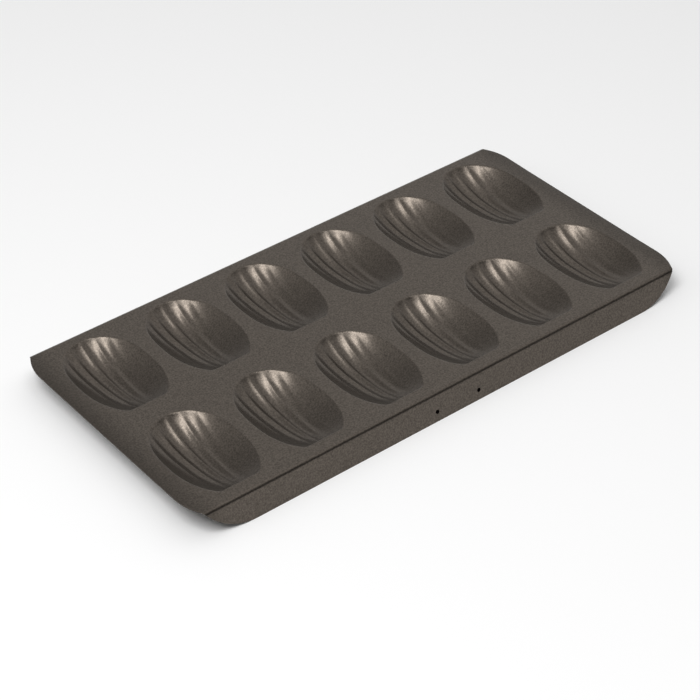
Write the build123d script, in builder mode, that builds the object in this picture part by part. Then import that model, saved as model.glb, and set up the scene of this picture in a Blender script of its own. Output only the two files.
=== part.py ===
from build123d import *
from math import cos, radians, sin, sqrt, tan
import os

# A madeleine pan pressed from one coated steel sheet: twelve fluted shell moulds in two rows,
# a flat deck between them, and a flared flange along each long side. The short ends are left
# raw and flat. X runs along the pan, Y across it from the near flange to the far one, and Z up.
# The origin is the middle of the footprint, on the surface that the flanges' lower edges rest on.

# Driving sizes of the pan, in millimetres and degrees
deck_height = 17.9           # top of the deck above the table
sheet = 0.8
flange_flare = 18.0          # lean of each flange outwards, from upright
bend_radius = 3.0            # outside of the fold between deck and flange
blank_corner_radius = 40.0   # corner of the flat blank, which folds over into the flange
columns = 6
rows = ("near", "far")
column_gap = 10.45           # flat deck between neighbours in a row
row_gap = 18.5               # flat deck between the rows, from tips to hinges
near_border = 10.4           # from the near fold to the first row's hinges
far_border = 8.1             # from the last row's tips to the far fold
end_border = 7.75            # from each raw end to the first tile

# Hanging holes in the near flange
hole_diameter = 2.8
hole_spacing = 34.0
hole_drop = 12.5             # from the fold, down the slope of the flange

# One mould: a scallop shell, hinge towards the near side
mould_length = 79.0
mould_half_width = 26.4
ridge_height = 12.1          # deck down to the tops of the ridges, in the middle of the shell
flute_depth = 1.1            # the flutes' floors below the line of the ridges, at the tip
hinge_corner_turn = 45.0     # from the hinge edge to the shell's slanted sides
hinge_corner_radius = 4.0
hinge_floor_radius = 1.0
hinge_wall_lean = 25.0       # from upright
land = 2.5                   # flat deck pressed with each mould, at hinge and tip
widest_share = 0.456         # where along its length the shell is widest
hinge_reach_share = 0.537    # from there back to where the shell would close without its hinge wall
side_power = 2.02
hinge_power = 2.14
tip_power = 2.7

# The ridges fan out from the hinge: their places at the hinge and at the tip, as shares of
# the half width, from the middle one to a line outside the shell
ridge_hinge_shares = (0.0, 0.16, 0.38, 0.84, 1.15)
ridge_tip_shares = (0.0, 0.37, 0.71, 1.08, 1.30)

flute_hinge_share = 0.05     # how deep the flutes still are at the hinge

# Sections along the shell, as shares of its length
section_shares = (-0.05, 0.04, 0.13, 0.25, 0.38, 0.50, 0.62, 0.74, 0.84, 0.92, 0.98, 1.06)

overrun = 2.0
lift_share = 2.6             # top of the uncut sections above the deck, in ridge heights

# Worked out from the sizes above
column_pitch = 2 * mould_half_width + column_gap
row_pitch = mould_length + row_gap
pan_length = columns * column_pitch + 2 * end_border
pan_width = near_border + len(rows) * row_pitch - row_gap + far_border
row_shift = (near_border - far_border) / 2
flare = radians(flange_flare)
bend_turn = 90.0 - flange_flare
bend_setback = bend_radius * tan(radians(bend_turn) / 2)
flange_width = deck_height / cos(flare)
half_length = pan_length / 2
half_width = pan_width / 2
seam_y = half_width - bend_setback
first_column_x = -column_pitch * (columns - 1) / 2
grid_half_length = column_pitch * columns / 2
tile_width = mould_length + 2 * land
widest = widest_share * mould_length
hinge_reach = hinge_reach_share * mould_length
tip_reach = mould_length - widest
hinge_opening_share = 1 - (widest / hinge_reach) ** hinge_power
hinge_half_width = mould_half_width * hinge_opening_share ** (1 / side_power)
skirt_arc_y = blank_corner_radius - flange_width
deck_arc_y = seam_y - (skirt_arc_y - bend_setback * sin(flare))


def ridge_depth(x, along):
    """Depth of the shell at its ridges: x from its middle line, along from its hinge."""
    if along < widest:
        ends = ((widest - along) / hinge_reach) ** hinge_power
    else:
        ends = ((along - widest) / tip_reach) ** tip_power
    return ridge_height * (1 - abs(x / mould_half_width) ** side_power - ends)


def floor_depth(x, along):
    """Depth of the flutes' floors, which grow shallow towards the rim and the hinge."""
    depth = ridge_depth(x, along)
    fade = flute_hinge_share + (1 - flute_hinge_share) * max(along, 0) / mould_length
    return depth + flute_depth * fade * sqrt(max(depth, 0) / ridge_height)


def ridge_x(number, along):
    """Place across the shell of one ridge, numbered outwards from the middle one."""
    start = ridge_hinge_shares[abs(number)]
    end = ridge_tip_shares[abs(number)]
    side = 1 if number > 0 else -1
    return side * mould_half_width * (start + (end - start) * along / mould_length)


def section_outline(along, drop):
    """One cross section: eight flutes, closed by straight sides up past the deck."""
    outermost = len(ridge_hinge_shares) - 1
    ridges = []
    for number in range(-outermost, outermost + 1):
        x = ridge_x(number, along)
        ridges.append((x, -ridge_depth(x, along) - drop))
    for left, right in zip(ridges[:-1], ridges[1:]):
        middle_x = (left[0] + right[0]) / 2
        ThreePointArc(left, (middle_x, -floor_depth(middle_x, along) - drop), right)
    top = lift_share * ridge_height
    Polyline(ridges[-1], (ridges[-1][0], top), (ridges[0][0], top), ridges[0])


def hinge_outline(inset, radius):
    """Plan outline that trims the shell at its hinge: a straight edge and two slanted corners."""
    half = hinge_half_width - inset * tan(radians(hinge_corner_turn) / 2)
    reach = half + mould_half_width
    far = mould_length + tile_width - inset
    slant = (reach - half) * tan(radians(hinge_corner_turn))
    Polygon(
        (-half, inset), (half, inset), (reach, inset + slant), (reach, far),
        (-reach, far), (-reach, inset + slant), align=None,
    )
    fillet(vertices().group_by(Axis.Y)[0], radius=radius)


def shell_solid(skin):
    """The hollow of one shell under the deck's top, or grown by a skin its outside."""
    depth = ridge_height + flute_depth + skin + overrun
    with BuildPart() as trim:
        with BuildSketch():
            hinge_outline(-skin, hinge_corner_radius)
        with BuildSketch(Plane.XY.offset(-depth)):
            hinge_outline(depth * tan(radians(hinge_wall_lean)) - skin, hinge_floor_radius)
        loft(ruled=True)
    with BuildPart() as shell:
        for share in section_shares:
            along = share * mould_length
            with BuildSketch(Plane.XZ.offset(-along)):
                with BuildLine():
                    section_outline(along, skin)
                make_face()
        loft()
        add(trim.part, mode=Mode.INTERSECT)
    return shell.part


def bend_point(side, radius, turn):
    """A point of the fold's arc, turned down from the deck: side is -1 near and 1 far."""
    y = seam_y + radius * sin(radians(turn))
    z = deck_height - bend_radius + radius * cos(radians(turn))
    return (side * y, z)


def skirt_plane(side):
    """The outer face of a flange, with its origin on the fold and its Y up the slope."""
    return Plane(
        origin=(0, side * half_width, deck_height),
        x_dir=(-side, 0, 0),
        z_dir=(0, side * cos(flare), sin(flare)),
    )


def flange_solid(side):
    """A fold and the flared skirt below it, with the blank's corners cut square to the sheet."""
    inner_radius = bend_radius - sheet
    outer = [bend_point(side, bend_radius, turn) for turn in (0, bend_turn / 2, bend_turn)]
    inner = [bend_point(side, inner_radius, turn) for turn in (bend_turn, bend_turn / 2, 0)]
    foot_y = half_width + deck_height * tan(flare)
    foot_inner_y = foot_y - sheet / cos(flare)
    with BuildPart() as flange:
        with BuildSketch(Plane.YZ):
            with BuildLine():
                ThreePointArc(*outer)
                Polyline(outer[-1], (side * foot_y, 0), (side * foot_inner_y, 0), inner[0])
                ThreePointArc(*inner)
                Line(inner[-1], outer[0])
            make_face()
        extrude(amount=half_length, both=True)
        arc_x = half_length - blank_corner_radius
        end_x = half_length + overrun
        foot = -flange_width - overrun
        with BuildSketch(skirt_plane(side)):
            with BuildLine():
                Polyline(
                    (arc_x, -flange_width), (arc_x, foot), (end_x, foot),
                    (end_x, skirt_arc_y), (half_length, skirt_arc_y),
                )
                CenterArc((arc_x, skirt_arc_y), blank_corner_radius, -90, 90)
            make_face()
            mirror(about=Plane.YZ)
        extrude(amount=2 * bend_radius, both=True, mode=Mode.SUBTRACT)
    return flange.part


def deck_strip(start, end):
    """A flat strip of the deck along the rows, between two places across the pan."""
    with BuildPart() as strip:
        with BuildSketch(Plane.XY.offset(deck_height - sheet)):
            with Locations((0, (start + end) / 2)):
                Rectangle(2 * grid_half_length, end - start)
        extrude(amount=sheet)
    return strip.part


def end_strip(side):
    """The flat strip of the deck at a raw end, rounded where the blank's corners fold over."""
    with BuildPart() as strip:
        with BuildSketch(Plane.XY.offset(deck_height - sheet)):
            RectangleRounded(pan_length, 2 * (deck_arc_y + blank_corner_radius), blank_corner_radius)
            with Locations((side * (half_length + grid_half_length) / 2, 0)):
                Rectangle(half_length - grid_half_length, 2 * seam_y, mode=Mode.INTERSECT)
        extrude(amount=sheet)
    return strip.part


def save(solid, name):
    """Label one finished piece and write it."""
    solid.label = name
    export_step(solid, f"parts/{name}.step")


os.makedirs("parts", exist_ok=True)

# One mould with its land, at the deck's own level and with its hinge on the X axis
hollow = shell_solid(0)
outside = shell_solid(sheet)
with BuildPart() as tile:
    with BuildSketch(Plane.XY.offset(-sheet)):
        with Locations((0, mould_length / 2)):
            Rectangle(column_pitch, tile_width)
    extrude(amount=sheet)
    add(outside)
    add(hollow, mode=Mode.SUBTRACT)

# The twelve moulds, all turned alike
row_middles = []
for row, row_name in enumerate(rows):
    row_middle = (row - (len(rows) - 1) / 2) * row_pitch + row_shift
    row_middles.append(row_middle)
    for column in range(columns):
        place = (first_column_x + column * column_pitch, row_middle - mould_length / 2, deck_height)
        with BuildPart() as mould:
            with Locations(place):
                add(tile.part)
        save(mould.part, f"mould_{row_name}_{column + 1}")

# The deck around the moulds
near_edge = row_middles[0] - tile_width / 2
far_edge = row_middles[-1] + tile_width / 2
save(deck_strip(-seam_y, near_edge), "near_margin")
save(deck_strip(near_edge + tile_width, far_edge - tile_width), "centre_strip")
save(deck_strip(far_edge, seam_y), "far_margin")
save(end_strip(-1), "left_margin")
save(end_strip(1), "right_margin")

# The flanges, with two small holes through the near one to hang the pan by
with BuildPart() as near_flange:
    add(flange_solid(-1))
    with BuildSketch(skirt_plane(-1)):
        with Locations((-hole_spacing / 2, -hole_drop), (hole_spacing / 2, -hole_drop)):
            Circle(hole_diameter / 2)
    extrude(amount=2 * sheet, both=True, mode=Mode.SUBTRACT)
save(near_flange.part, "near_flange")
save(flange_solid(1), "far_flange")
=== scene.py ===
from math import acos, cos, pi, radians, sin, tan

import bpy
import numpy as np
from mathutils import Matrix, Vector


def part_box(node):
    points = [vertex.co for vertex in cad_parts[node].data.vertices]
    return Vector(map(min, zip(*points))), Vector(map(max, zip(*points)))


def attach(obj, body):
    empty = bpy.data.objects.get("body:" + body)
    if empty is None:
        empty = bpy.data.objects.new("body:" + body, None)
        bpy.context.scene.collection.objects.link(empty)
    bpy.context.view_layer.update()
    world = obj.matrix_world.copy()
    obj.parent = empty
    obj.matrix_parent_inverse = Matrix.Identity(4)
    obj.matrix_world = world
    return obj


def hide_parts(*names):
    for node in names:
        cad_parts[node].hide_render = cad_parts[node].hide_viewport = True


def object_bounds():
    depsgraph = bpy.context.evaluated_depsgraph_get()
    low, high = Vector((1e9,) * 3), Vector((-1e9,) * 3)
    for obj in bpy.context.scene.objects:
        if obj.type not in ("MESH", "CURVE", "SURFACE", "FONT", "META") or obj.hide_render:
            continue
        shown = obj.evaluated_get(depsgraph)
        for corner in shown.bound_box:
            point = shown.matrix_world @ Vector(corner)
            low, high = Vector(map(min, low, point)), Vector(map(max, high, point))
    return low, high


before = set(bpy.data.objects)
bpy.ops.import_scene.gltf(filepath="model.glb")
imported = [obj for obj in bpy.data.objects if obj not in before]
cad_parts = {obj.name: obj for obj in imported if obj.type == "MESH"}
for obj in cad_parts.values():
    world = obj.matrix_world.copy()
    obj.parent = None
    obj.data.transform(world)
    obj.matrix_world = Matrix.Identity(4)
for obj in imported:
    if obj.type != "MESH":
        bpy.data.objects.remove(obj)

bl_info = {
    "name": "Madeleine Pan",
    "version": (1, 0, 0),
    "blender": (4, 5, 0),
    "location": "View3D > Sidebar > Madeleine Pan",
    "description": "Models a pressed and coated steel madeleine pan on its packed frame",
    "category": "Add Mesh",
}

# The CAD box, straight after the frame is loaded
CAD_BOX = [list(corner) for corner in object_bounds()]

MM = 0.001
ROWS = ("near", "far")
COLUMNS = 6

# Places read from the frame
TILE_LOW, TILE_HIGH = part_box("mould_near_1")
DECK_TOP = TILE_HIGH[2]
HALF_LENGTH = CAD_BOX[1][0]
GRID_HALF_LENGTH = -TILE_LOW[0]
FLANGE_LOW, FLANGE_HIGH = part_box("near_flange")
SEAM_Y = -FLANGE_HIGH[1]
PITCH = TILE_HIGH[0] - TILE_LOW[0]
TILE_WIDTH = TILE_HIGH[1] - TILE_LOW[1]

# The ridges between the flutes fan out from the hinge: their places at the hinge and at the
# tip, as shares of the shell's half width, from the middle one to a line outside the shell
RIDGE_HINGE_SHARES = (0.0, 0.16, 0.38, 0.84, 1.15)
RIDGE_TIP_SHARES = (0.0, 0.37, 0.71, 1.08, 1.30)
WIDEST_SHARE = 0.456
HINGE_REACH_SHARE = 0.537
SIDE_POWER = 2.02
HINGE_POWER = 2.14
TIP_POWER = 2.7

# The flutes: how deep they still are at the hinge, then for each one from the middle outwards
# its share of the full depth and how fast it fades, and how they fade towards the rim
FLUTE_HINGE_SHARE = 0.05
FLUTE_DEPTH_SHARES = (1.0, 1.0, 0.8, 0.8)
FLUTE_FADE_POWERS = (1, 1, 2, 2)
FLUTE_RIM_POWER = 0.6

# Slopes of the shell at its rim, between which the rounding of the rim is worked out
RIM_SLOPES = (0.1, 4.0)

# Columns and rows of the flat sheet before it is pressed
MOULD_GRID = (120, 150)
STRIP_GRID = (60, 4)
END_GRID = (8, 120)
FLANGE_GRID = (130, 40)

# Shares of a mould's columns, from its middle line, at which its ridges and its side lie
RIDGE_COLUMN_SHARES = (0.0, 0.2, 0.4, 0.7, 1.0)

# A mould's rows: on the land at the hinge, down the hinge wall, along the shell, up the tip and
# on the land beyond it. Each stretch has its own spacing, in millimetres
ROW_SPACINGS = (1.0, 0.28, 0.75, 0.4, 1.0)
HINGE_WALL_START = -1.0 * MM
HINGE_WALL_END = 4.5 * MM
TIP_START_SHARE = 0.86
TIP_OVERRUN = 0.7 * MM

FOLD_ROW_SHARE = 0.3         # share of a flange's rows that go round the fold
FLOOR_RADIUS = 2.5           # in metres


def linear(hex_colour):
    """An sRGB hex colour as a linear RGBA value."""
    channels = [int(hex_colour[place:place + 2], 16) / 255 for place in (1, 3, 5)]
    light = [c / 12.92 if c <= 0.04045 else ((c + 0.055) / 1.055) ** 2.4 for c in channels]
    return (*light, 1.0)


def size(name, description, value):
    """A length setting, given in millimetres."""
    return bpy.props.FloatProperty(
        name=name, description=description, default=value * MM, unit="LENGTH", precision=5,
    )


class PanSizes(bpy.types.PropertyGroup):
    """The sizes of the pressed sheet."""

    sheet: size("Sheet", "Thickness of the coated steel", 0.8)
    land: size("Land", "Flat deck pressed with each mould, at hinge and tip", 2.5)
    shell_half_width: size("Shell half width", "Half the shell's greatest width", 26.4)
    ridge_height: size("Ridge height", "Deck down to the ridges in the middle of the shell", 12.1)
    flute_depth: size("Flute depth", "Flute floors below the sharp ridges, at the tip", 2.7)
    ridge_radius: size("Ridge rounding", "Rounding of the ridges between the flutes", 0.6)
    rim_radius: size("Rim rounding", "Rounding where the shell leaves the deck", 1.3)
    hinge_blend: size("Hinge blend", "Softness of the corner below the hinge", 1.8)
    bend_radius: size("Fold radius", "Outside of the fold between deck and flange", 3.0)
    blank_corner: size("Blank corner", "Corner radius of the flat blank", 40.0)
    edge_roll: size("Edge roll", "Drop of the deck at its raw ends, where the blank was cut", 0.4)
    hole_diameter: size("Hole", "Diameter of the two hanging holes", 2.8)
    hole_spacing: size("Hole spacing", "Distance between the two hanging holes", 34.0)
    hole_drop: size("Hole drop", "Fold down the slope to the hanging holes", 12.5)
    flare: bpy.props.FloatProperty(
        name="Flare", description="Lean of the flanges, from upright",
        default=radians(18.0), subtype="ANGLE",
    )
    hinge_lean: bpy.props.FloatProperty(
        name="Hinge lean", description="Lean of the wall below the hinge, from upright",
        default=radians(25.0), subtype="ANGLE",
    )


class PanColours(bpy.types.PropertyGroup):
    """The colours of the coating and of the stage."""

    coating: bpy.props.FloatVectorProperty(
        name="Coating", description="Warm grey of the non-stick coating",
        default=linear("#605952"), size=4, min=0.0, max=1.0, subtype="COLOR",
    )
    floor: bpy.props.FloatVectorProperty(
        name="Floor", description="Pale floor under the pan",
        default=linear("#f7f7f7"), size=4, min=0.0, max=1.0, subtype="COLOR",
    )


def deselect():
    """Nothing selected, so that an operator acts on the new piece alone."""
    bpy.ops.object.select_all(action="DESELECT")


def sheet_grid(name, grid):
    """A flat unit sheet to be pressed: its vertices come back as places from 0 to 1."""
    columns, rows = grid
    deselect()
    bpy.ops.mesh.primitive_grid_add(
        x_subdivisions=columns, y_subdivisions=rows, size=1.0, location=(0.5, 0.5, 0.0),
    )
    piece = bpy.context.object
    piece.name = name
    piece.data.name = name
    bpy.ops.object.transform_apply(location=True, rotation=True, scale=True)
    places = read_points(piece.data)
    return piece, np.clip(places[:, 0], 0, 1), np.clip(places[:, 1], 0, 1)


def read_points(mesh):
    """The vertices of a mesh, one row each."""
    values = np.empty(len(mesh.vertices) * 3)
    mesh.vertices.foreach_get("co", values)
    return values.reshape(-1, 3)


def write_points(mesh, points):
    """Puts every vertex of a mesh in its new place."""
    mesh.vertices.foreach_set("co", np.asarray(points, dtype=float).ravel())
    mesh.update()


def thicken(piece, thickness):
    """Gives a pressed sheet its thickness, on the underside."""
    solid = piece.modifiers.new("Sheet", "SOLIDIFY")
    solid.thickness = thickness
    solid.offset = -1.0
    solid.use_rim = True
    bpy.context.view_layer.objects.active = piece
    bpy.ops.object.modifier_apply(modifier=solid.name)


def smooth(piece):
    """Smooth shading that keeps the sheet's cut edges sharp."""
    deselect()
    piece.select_set(True)
    bpy.context.view_layer.objects.active = piece
    bpy.ops.object.shade_smooth_by_angle(angle=radians(35))


def finish_piece(piece, node):
    """Coats one piece and ties it to the frame."""
    piece.data.materials.clear()
    piece.data.materials.append(coating_material())
    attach(piece, "root")
    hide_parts(node)


def smooth_min(first, second, softness):
    """The lesser of two depths, with a rounded corner where they cross."""
    reach = np.clip(softness - np.abs(first - second), 0, None) / softness
    return np.minimum(first, second) - reach * reach * softness / 4


def shell_length(sizes):
    """Length of the shell, from its hinge to its tip."""
    return TILE_WIDTH - 2 * sizes.land


def ridge_places(along, sizes):
    """The ridges' distances from the shell's middle line, at one place along it."""
    share = along / shell_length(sizes)
    pairs = zip(RIDGE_HINGE_SHARES, RIDGE_TIP_SHARES)
    return [sizes.shell_half_width * (start + (end - start) * share) for start, end in pairs]


def shell_depth(x, along, sizes):
    """Depth of the pressed shell below the deck before its rim is rounded."""
    length = shell_length(sizes)
    widest = WIDEST_SHARE * length
    towards_hinge = np.clip(widest - along, 0, None) / (HINGE_REACH_SHARE * length)
    towards_tip = np.clip(along - widest, 0, None) / (length - widest)
    ends = towards_hinge ** HINGE_POWER + towards_tip ** TIP_POWER
    across = np.abs(x) / sizes.shell_half_width
    ridges = sizes.ridge_height * (1 - across ** SIDE_POWER - ends)
    fade = FLUTE_HINGE_SHARE + (1 - FLUTE_HINGE_SHARE) * np.clip(along / length, 0, 1)
    flutes = np.zeros_like(ridges)
    lines = ridge_places(along, sizes)
    flute_rows = zip(lines[:-1], lines[1:], FLUTE_DEPTH_SHARES, FLUTE_FADE_POWERS)
    for inner, outer, share, power in flute_rows:
        width = outer - inner
        inside = (np.abs(x) >= inner) & (np.abs(x) <= outer)
        away = np.minimum(np.abs(x) - inner, outer - np.abs(x))
        rounded = np.sqrt(away ** 2 + sizes.ridge_radius ** 2) - sizes.ridge_radius
        curve = 4 * rounded / width - 4 * (away / width) ** 2
        flutes = np.where(inside, share * curve * fade ** power, flutes)
    rim_fade = (np.clip(ridges, 0, None) / sizes.ridge_height) ** FLUTE_RIM_POWER
    flutes *= sizes.flute_depth * rim_fade
    hinge_wall = along / tan(sizes.hinge_lean)
    return smooth_min(ridges + flutes, hinge_wall, sizes.hinge_blend)


def slope_of(height, x, along, sizes):
    """Slope of a surface at each point, by small steps across and along."""
    step = 0.05 * MM
    across = height(x + step, along, sizes) - height(x - step, along, sizes)
    lengthwise = height(x, along + step, sizes) - height(x, along - step, sizes)
    return np.sqrt((across / (2 * step)) ** 2 + (lengthwise / (2 * step)) ** 2)


def pressed_depth(x, along, sizes):
    """Depth of the finished top surface: the shell, with a rounded rim, in a flat deck."""
    depth = shell_depth(x, along, sizes)
    steepness = np.clip(slope_of(shell_depth, x, along, sizes), *RIM_SLOPES)
    softness = sizes.rim_radius * np.tan(np.arctan(steepness) / 2) * steepness
    over = np.clip(depth + softness, 0, 2 * softness)
    return np.where(depth > softness, depth, over ** 2 / (4 * softness))


def row_places(share, sizes):
    """Rows of the tile, closer together at the hinge wall and at the tip."""
    length = shell_length(sizes)
    stops = np.array([
        -sizes.land, HINGE_WALL_START, HINGE_WALL_END,
        TIP_START_SHARE * length, length + TIP_OVERRUN, length + sizes.land,
    ])
    counts = np.diff(stops) / (np.array(ROW_SPACINGS) * MM)
    marks = np.concatenate(([0], np.cumsum(counts))) / counts.sum()
    return np.interp(share, marks, stops)


def column_places(share, along, sizes):
    """Columns of the tile, which run along the ridges of the shell."""
    side = np.sign(share - 0.5)
    out = np.abs(share - 0.5) * 2
    lines = ridge_places(along, sizes)[:-1] + [np.full_like(along, PITCH / 2)]
    marks = RIDGE_COLUMN_SHARES
    place = np.zeros_like(out)
    for left, right, start, end in zip(lines[:-1], lines[1:], marks[:-1], marks[1:]):
        inside = (out >= start) & (out <= end)
        place = np.where(inside, left + (right - left) * (out - start) / (end - start), place)
    return side * place


class PAN_OT_moulds(bpy.types.Operator):
    """Press one scallop-shell mould and set it in every place of the two rows"""

    bl_idname = "pan.moulds"
    bl_label = "Shell Moulds"

    def execute(self, context):
        sizes = context.scene.pan_sizes
        first, across, lengthwise = sheet_grid("shell_mould_near_1", MOULD_GRID)
        along = row_places(lengthwise, sizes)
        x = column_places(across, along, sizes)
        depth = pressed_depth(x, along, sizes)
        wall = sizes.sheet * np.sqrt(1 + slope_of(pressed_depth, x, along, sizes) ** 2)
        middle = (TILE_LOW[0] + TILE_HIGH[0]) / 2
        hinge = TILE_LOW[1] + sizes.land
        top = np.column_stack((middle + x, hinge + along, DECK_TOP - depth))
        write_points(first.data, top)
        thicken(first, sizes.sheet)
        under = top - np.column_stack((0 * x, 0 * x, wall))
        write_points(first.data, np.vstack((top, under)))
        smooth(first)
        for row in ROWS:
            for column in range(COLUMNS):
                node = f"mould_{row}_{column + 1}"
                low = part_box(node)[0]
                piece = first
                if node != "mould_near_1":
                    piece = first.copy()
                    piece.data = first.data.copy()
                    piece.name = piece.data.name = f"shell_{node}"
                    move = Vector((low[0] - TILE_LOW[0], low[1] - TILE_LOW[1], 0))
                    piece.data.transform(Matrix.Translation(move))
                    context.scene.collection.objects.link(piece)
                finish_piece(piece, node)
        return {"FINISHED"}


class PAN_OT_deck_strips(bpy.types.Operator):
    """Lay the flat strips of the deck along the rows of moulds"""

    bl_idname = "pan.deck_strips"
    bl_label = "Deck Strips"

    def execute(self, context):
        sizes = context.scene.pan_sizes
        for node in ("near_margin", "centre_strip", "far_margin"):
            low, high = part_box(node)
            piece, across, lengthwise = sheet_grid(f"deck_{node}", STRIP_GRID)
            x = low[0] + (high[0] - low[0]) * across
            y = low[1] + (high[1] - low[1]) * lengthwise
            write_points(piece.data, np.column_stack((x, y, np.full_like(x, DECK_TOP))))
            thicken(piece, sizes.sheet)
            smooth(piece)
            finish_piece(piece, node)
        return {"FINISHED"}


def blank_inset(rise, sizes):
    """How far the blank's corner arc stands in from the raw end, at a distance from its start."""
    radius = sizes.blank_corner
    return radius - np.sqrt(np.clip(radius ** 2 - np.clip(rise, 0, radius) ** 2, 0, None))


def skirt_arc(sizes):
    """Height of the blank's corner centre above the fold, along the slope of the flange."""
    return sizes.blank_corner - DECK_TOP / cos(sizes.flare)


class PAN_OT_raw_ends(bpy.types.Operator):
    """Lay the flat strips at the two raw ends, with the blank's rounded corners"""

    bl_idname = "pan.raw_ends"
    bl_label = "Raw Ends"

    def execute(self, context):
        sizes = context.scene.pan_sizes
        setback = sizes.bend_radius * tan((radians(90) - sizes.flare) / 2)
        arc_start = SEAM_Y - (skirt_arc(sizes) - setback * sin(sizes.flare))
        for node, side in (("left_margin", -1), ("right_margin", 1)):
            piece, outwards, lengthwise = sheet_grid(f"deck_{node}", END_GRID)
            y = SEAM_Y * (2 * lengthwise - 1)
            edge = HALF_LENGTH - blank_inset(np.abs(y) - arc_start, sizes)
            reach = outwards if side > 0 else 1 - outwards
            x = GRID_HALF_LENGTH + (edge - GRID_HALF_LENGTH) * reach
            run = np.clip((x - GRID_HALF_LENGTH) / (HALF_LENGTH - GRID_HALF_LENGTH), 0, 1)
            fade = np.clip((SEAM_Y - np.abs(y)) / sizes.blank_corner, 0, 1)
            z = DECK_TOP - sizes.edge_roll * run ** 2 * fade
            write_points(piece.data, np.column_stack((side * x, y, z)))
            thicken(piece, sizes.sheet)
            smooth(piece)
            finish_piece(piece, node)
        return {"FINISHED"}


def fold_section(share, sizes):
    """One flange in section, from the deck's seam at 0 round the fold to the foot at 1."""
    turn = radians(90) - sizes.flare
    angle = turn * np.clip(share / FOLD_ROW_SHARE, 0, 1)
    drop = np.clip((share - FOLD_ROW_SHARE) / (1 - FOLD_ROW_SHARE), 0, 1)
    # Rows of the skirt step evenly round the blank's corner arc, so that its outline is smooth
    setback = sizes.bend_radius * tan(turn / 2)
    start = acos((skirt_arc(sizes) + setback) / sizes.blank_corner)
    run = sizes.blank_corner * np.cos(start * (1 - drop)) - skirt_arc(sizes) - setback
    y = SEAM_Y + sizes.bend_radius * np.sin(angle) + run * sin(sizes.flare) * (drop > 0)
    z = DECK_TOP - sizes.bend_radius * (1 - np.cos(angle)) - run * cos(sizes.flare) * (drop > 0)
    below_fold = (y - SEAM_Y - setback) * sin(sizes.flare) + (DECK_TOP - z) * cos(sizes.flare)
    return y, np.clip(z, 0, None), below_fold


class PAN_OT_flanges(bpy.types.Operator):
    """Fold the two flared flanges, and punch the hanging holes through the near one"""

    bl_idname = "pan.flanges"
    bl_label = "Flanges"

    def execute(self, context):
        sizes = context.scene.pan_sizes
        for node, side in (("near_flange", -1), ("far_flange", 1)):
            piece, across, down = sheet_grid(f"folded_{node}", FLANGE_GRID)
            share = 1 - down if side < 0 else down
            y, z, below_fold = fold_section(share, sizes)
            inset = blank_inset(skirt_arc(sizes) + below_fold, sizes)
            x = (2 * across - 1) * (HALF_LENGTH - inset)
            write_points(piece.data, np.column_stack((x, side * y, z)))
            thicken(piece, sizes.sheet)
            points = read_points(piece.data)
            points[:, 2] = np.clip(points[:, 2], 0, None)
            write_points(piece.data, points)
            if side < 0:
                punch_holes(piece, sizes)
            smooth(piece)
            finish_piece(piece, node)
        return {"FINISHED"}


def punch_holes(piece, sizes):
    """Cuts the two hanging holes square through the near flange."""
    fold = Vector((0, FLANGE_LOW[1] + DECK_TOP * tan(sizes.flare), DECK_TOP))
    slope = Vector((0, -sin(sizes.flare), -cos(sizes.flare)))
    for side in (-1, 1):
        place = fold + slope * sizes.hole_drop + Vector((side * sizes.hole_spacing / 2, 0, 0))
        deselect()
        bpy.ops.mesh.primitive_cylinder_add(
            vertices=40, radius=sizes.hole_diameter / 2, depth=6 * sizes.sheet,
            location=place, rotation=(radians(90) - sizes.flare, 0, 0),
        )
        punch = bpy.context.object
        cut = piece.modifiers.new("Hole", "BOOLEAN")
        cut.operation = "DIFFERENCE"
        cut.solver = "EXACT"
        cut.object = punch
        bpy.context.view_layer.objects.active = piece
        bpy.ops.object.modifier_apply(modifier=cut.name)
        bpy.data.objects.remove(punch)


def add_node(tree, kind, inputs=None, **settings):
    """Adds one shader node, sets it, and fills or links its inputs."""
    node = tree.nodes.new(kind)
    for name, value in settings.items():
        setattr(node, name, value)
    for name, value in (inputs or {}).items():
        if isinstance(value, bpy.types.NodeSocket):
            tree.links.new(value, node.inputs[name])
        else:
            node.inputs[name].default_value = value
    return node


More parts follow.
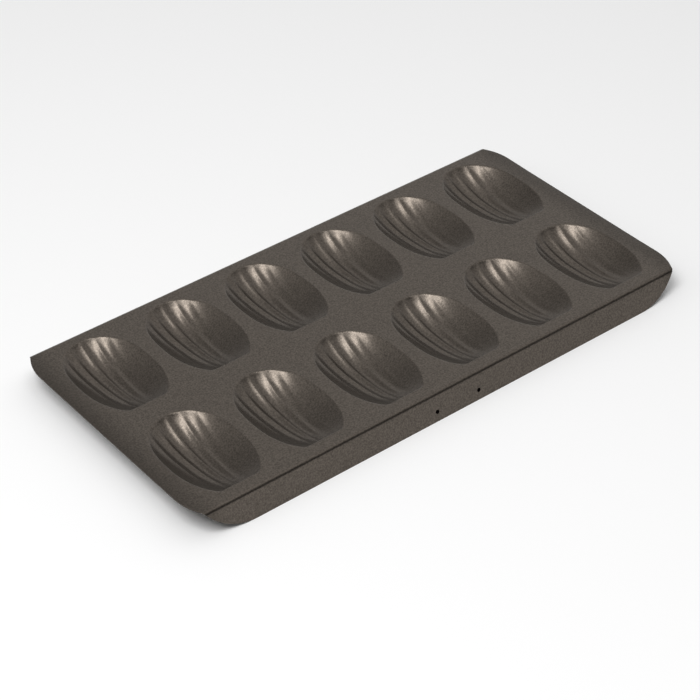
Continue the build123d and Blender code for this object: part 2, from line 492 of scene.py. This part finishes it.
def coating_material():
    """Baked non-stick coating on pressed steel: a satin warm grey film with a fine metal fleck.

    The fleck gives the eye a soft metallic sheen rather than a painted one, and the film's
    orange peel breaks up its highlights. The flakes themselves are too fine to show, so the
    fleck is drawn as coarse as it needs to be.
    """
    name = "non_stick_coating_baked_on_steel"
    if name in bpy.data.materials:
        return bpy.data.materials[name]
    material = bpy.data.materials.new(name)
    material.use_nodes = True
    tree = material.node_tree
    tree.nodes.clear()
    place = add_node(tree, "ShaderNodeTexCoord").outputs["Object"]
    fleck_size = 1.1 * MM
    fleck_low, fleck_high = 0.3, 0.7
    fleck_dark, fleck_light = 0.68, 1.32
    fleck = add_node(tree, "ShaderNodeTexNoise", {
        "Vector": place, "Scale": 1 / fleck_size, "Detail": 2.0, "Roughness": 0.6,
    })
    colours = bpy.context.scene.pan_colours
    tone = add_node(tree, "ShaderNodeMapRange", {
        "Value": fleck.outputs["Fac"], "From Min": fleck_low, "From Max": fleck_high,
        "To Min": fleck_dark, "To Max": fleck_light,
    })
    # Painted shade: the coating's colour is darkened in a band along each raw end
    painted_shade_band = 22 * MM
    painted_shade_tone = 0.66
    sides = add_node(tree, "ShaderNodeSeparateXYZ", {"Vector": place})
    outwards = add_node(tree, "ShaderNodeMath", {0: sides.outputs["X"]}, operation="ABSOLUTE")
    ends = add_node(tree, "ShaderNodeMapRange", {
        "Value": outwards.outputs["Value"], "From Min": HALF_LENGTH - painted_shade_band, "From Max": HALF_LENGTH,
        "To Min": 1.0, "To Max": painted_shade_tone,
    }, interpolation_type="SMOOTHSTEP")
    # The random fleck tone times the painted shade along the raw ends
    shade = add_node(tree, "ShaderNodeMath", {
        0: tone.outputs["Result"], 1: ends.outputs["Result"],
    }, operation="MULTIPLY")
    base = add_node(tree, "ShaderNodeMix", {
        "Factor": 1.0, 6: tuple(colours.coating), 7: shade.outputs["Value"],
    }, data_type="RGBA", blend_type="MULTIPLY")
    peel_size = 1.6 * MM
    peel_height = 0.05 * MM
    peel = add_node(tree, "ShaderNodeTexNoise", {
        "Vector": place, "Scale": 1 / peel_size, "Detail": 1.0,
    })
    bump = add_node(tree, "ShaderNodeBump", {
        "Height": peel.outputs["Fac"], "Strength": 0.25, "Distance": peel_height,
    })
    film = add_node(tree, "ShaderNodeBsdfPrincipled", {
        "Base Color": base.outputs[2], "Metallic": 0.95, "Roughness": 0.32,
        "Normal": bump.outputs["Normal"],
    })
    add_node(tree, "ShaderNodeOutputMaterial", {"Surface": film.outputs["BSDF"]})
    return material


def floor_material():
    """Matt white paper, rolled out: a pale, even floor with no gloss."""
    material = bpy.data.materials.new("white_paper_floor")
    material.use_nodes = True
    tree = material.node_tree
    tree.nodes.clear()
    colours = bpy.context.scene.pan_colours
    paper = add_node(tree, "ShaderNodeBsdfDiffuse", {"Color": tuple(colours.floor)})
    add_node(tree, "ShaderNodeOutputMaterial", {"Surface": paper.outputs["BSDF"]})
    return material


def studio_world():
    """Plain soft light from behind the pan and above it, with a grey screen behind on the left.

    The camera itself sees white past the floor's edge.
    """
    world = bpy.data.worlds.new("studio")
    world.use_nodes = True
    tree = world.node_tree
    tree.nodes.clear()
    towards = add_node(tree, "ShaderNodeTexCoord").outputs["Generated"]
    back = radians(80)
    dark, bright = 0.09, 0.76
    fade_start, fade_end = 0.05, 0.5
    height = add_node(tree, "ShaderNodeVectorMath", {
        0: towards, 1: (cos(back), sin(back), 1.0),
    }, operation="DOT_PRODUCT")
    level = add_node(tree, "ShaderNodeMapRange", {
        "Value": height.outputs["Value"], "From Min": fade_start, "From Max": fade_end,
        "To Min": dark, "To Max": bright,
    }, interpolation_type="SMOOTHSTEP")
    # The grey screen: its direction, how wide it is and how much light it leaves
    turn, rise = radians(102), radians(30)
    screen_edge, screen_core = radians(37), radians(12)
    screen_share = 0.5
    nearness = add_node(tree, "ShaderNodeVectorMath", {
        0: towards, 1: (cos(turn) * cos(rise), sin(turn) * cos(rise), sin(rise)),
    }, operation="DOT_PRODUCT")
    shade = add_node(tree, "ShaderNodeMapRange", {
        "Value": nearness.outputs["Value"],
        "From Min": cos(screen_edge), "From Max": cos(screen_core),
        "To Min": 1.0, "To Max": screen_share,
    }, interpolation_type="SMOOTHSTEP")
    dimmed = add_node(tree, "ShaderNodeMath", {
        0: level.outputs["Result"], 1: shade.outputs["Result"],
    }, operation="MULTIPLY")
    seen = add_node(tree, "ShaderNodeLightPath").outputs["Is Camera Ray"]
    strength = add_node(tree, "ShaderNodeMath", {
        0: dimmed.outputs["Value"], 1: seen,
    }, operation="MAXIMUM")
    sky = add_node(tree, "ShaderNodeBackground", {
        "Color": (1, 1, 1, 1), "Strength": strength.outputs["Value"],
    })
    add_node(tree, "ShaderNodeOutputWorld", {"Surface": sky.outputs["Background"]})
    return world


def soft_box(name, azimuth, elevation, distance, width, height, brightness):
    """A rectangular studio lamp facing the pan, of a given brightness, where 1 is white.

    The azimuth turns from +X towards +Y, and both angles are in degrees.
    """
    data = bpy.data.lights.new(name, "AREA")
    data.shape = "RECTANGLE"
    data.size = width
    data.size_y = height
    data.energy = brightness * pi * width * height
    lamp = bpy.data.objects.new(name, data)
    turn, rise = radians(azimuth), radians(elevation)
    direction = Vector((cos(turn) * cos(rise), sin(turn) * cos(rise), sin(rise)))
    lamp.location = direction * distance
    lamp.rotation_euler = direction.to_track_quat("Z", "Y").to_euler()
    bpy.context.scene.collection.objects.link(lamp)


class PAN_OT_stage(bpy.types.Operator):
    """Set the pale floor, the soft lamps and the camera"""

    bl_idname = "pan.stage"
    bl_label = "Stage"

    def execute(self, context):
        scene = context.scene
        deselect()
        bpy.ops.mesh.primitive_circle_add(
            vertices=96, radius=FLOOR_RADIUS, fill_type="NGON", location=(0, 0, 0),
        )
        floor = context.object
        floor.name = "floor"
        floor.data.materials.append(floor_material())
        soft_box(
            "key_soft_box", azimuth=-158, elevation=61, distance=2.0,
            width=0.9, height=1.05, brightness=6.7,
        )
        soft_box(
            "top_soft_box", azimuth=-95, elevation=68, distance=2.0,
            width=0.6, height=0.6, brightness=2.3,
        )
        scene.world = studio_world()
        scene.view_settings.view_transform = "Standard"
        place_camera(scene)
        return {"FINISHED"}


def place_camera(scene):
    """The photograph's camera: a long lens, from the left and in front, high above the pan."""
    azimuth = radians(37.18)
    elevation = radians(37.78)
    roll = radians(1.6)
    place = Vector((-688.63, -898.17, 863.39)) * MM
    forward = Vector((
        sin(azimuth) * cos(elevation), cos(azimuth) * cos(elevation), -sin(elevation),
    ))
    level = forward.cross(Vector((0, 0, 1))).normalized()
    above = level.cross(forward)
    right = level * cos(roll) - above * sin(roll)
    up = right.cross(forward)
    data = bpy.data.cameras.new("camera")
    data.sensor_width = 36.0
    data.lens = 111.04
    data.clip_start = 0.05
    data.clip_end = 50.0
    camera = bpy.data.objects.new("camera", data)
    facing = Matrix((right, up, -forward)).transposed().to_4x4()
    camera.matrix_world = Matrix.Translation(place) @ facing
    scene.collection.objects.link(camera)
    scene.camera = camera


OPERATORS = (PAN_OT_moulds, PAN_OT_deck_strips, PAN_OT_raw_ends, PAN_OT_flanges, PAN_OT_stage)


class PAN_PT_panel(bpy.types.Panel):
    """Lists the steps that build the pan"""

    bl_idname = "PAN_PT_panel"
    bl_label = "Madeleine Pan"
    bl_space_type = "VIEW_3D"
    bl_region_type = "UI"
    bl_category = "Madeleine Pan"

    def draw(self, context):
        for operator in OPERATORS:
            self.layout.operator(operator.bl_idname)
        for name in PanSizes.__annotations__:
            self.layout.prop(context.scene.pan_sizes, name)
        for name in PanColours.__annotations__:
            self.layout.prop(context.scene.pan_colours, name)


CLASSES = (PanSizes, PanColours) + OPERATORS + (PAN_PT_panel,)


def register():
    for item in CLASSES:
        bpy.utils.register_class(item)
    bpy.types.Scene.pan_sizes = bpy.props.PointerProperty(type=PanSizes)
    bpy.types.Scene.pan_colours = bpy.props.PointerProperty(type=PanColours)


def unregister():
    del bpy.types.Scene.pan_colours
    del bpy.types.Scene.pan_sizes
    for item in reversed(CLASSES):
        bpy.utils.unregister_class(item)


def main():
    register()
    bpy.ops.pan.moulds()
    bpy.ops.pan.deck_strips()
    bpy.ops.pan.raw_ends()
    bpy.ops.pan.flanges()
    bpy.ops.pan.stage()


if __name__ == "__main__":
    main()
